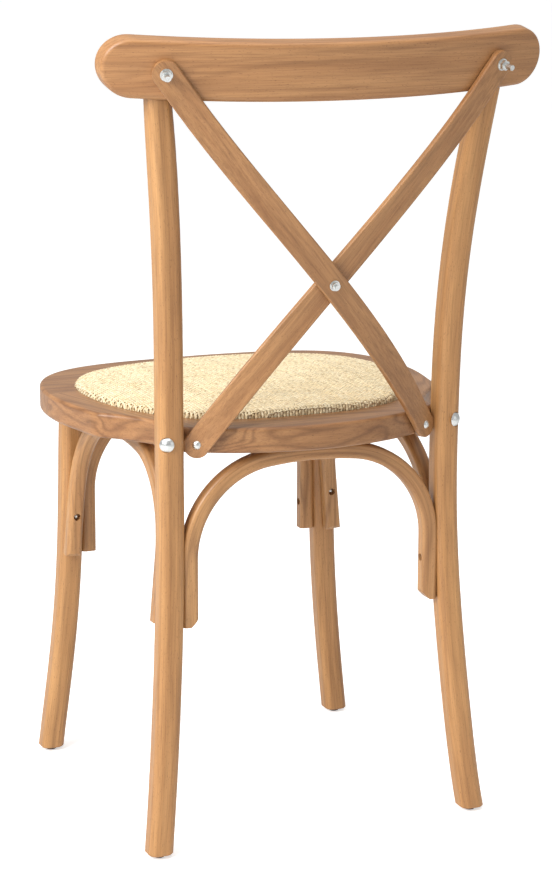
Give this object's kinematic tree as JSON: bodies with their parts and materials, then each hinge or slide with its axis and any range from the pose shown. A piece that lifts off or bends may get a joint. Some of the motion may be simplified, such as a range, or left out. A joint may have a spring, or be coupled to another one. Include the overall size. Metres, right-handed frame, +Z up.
{
  "type": "dining chair",
  "caption": "Bentwood cross back dining chair with a curved crest rail, crossed back slats, a woven rattan seat panel and arched leg braces.",
  "frame": {"origin": "on the floor, under the middle of the chair's bounding box", "axes": "+Z up, the sitter faces -Y, +X is the sitter's left"},
  "size_m": [0.5, 0.4726, 0.8879],
  "materials": {
    "beech": "satin lacquered steam-bent beech",
    "plywood": "raw plywood",
    "woven_rattan": "plain woven natural rattan",
    "seat_fibre": "pressed fibre",
    "zinc_steel": "bright zinc plated",
    "glide_plastic": "dark brown moulded plastic"
  },
  "bodies": {
    "root": {"brace_arch_front": "beech", "brace_arch_left": "beech", "brace_arch_rear": "beech", "brace_arch_right": "beech", "brace_crown_screws": "zinc_steel", "brace_end_screws": "zinc_steel", "crest_bolt_nuts": "zinc_steel", "crest_bolt_washers": "zinc_steel", "crest_bolts": "zinc_steel", "crest_rail": "beech", "cross_slat_inner": "beech", "cross_slat_outer": "beech", "crossing_bolt": "zinc_steel", "crossing_nut": "zinc_steel", "crossing_washer": "zinc_steel", "front_leg_left": "beech", "front_leg_right": "beech", "glide_front_left": "glide_plastic", "glide_front_right": "glide_plastic", "glide_rear_left": "glide_plastic", "glide_rear_right": "glide_plastic", "post_barrel_nuts": "zinc_steel", "post_bolts": "zinc_steel", "rattan_cover": "woven_rattan", "rear_post_left": "beech", "rear_post_right": "beech", "rim_dowels": "beech", "seat_board": "plywood", "seat_board_screws": "zinc_steel", "seat_padding": "seat_fibre", "seat_rim_back": "beech", "seat_rim_corner_left": "beech", "seat_rim_corner_right": "beech", "seat_rim_front": "beech", "slat_foot_screws": "zinc_steel"}
  },
  "joints": []
}
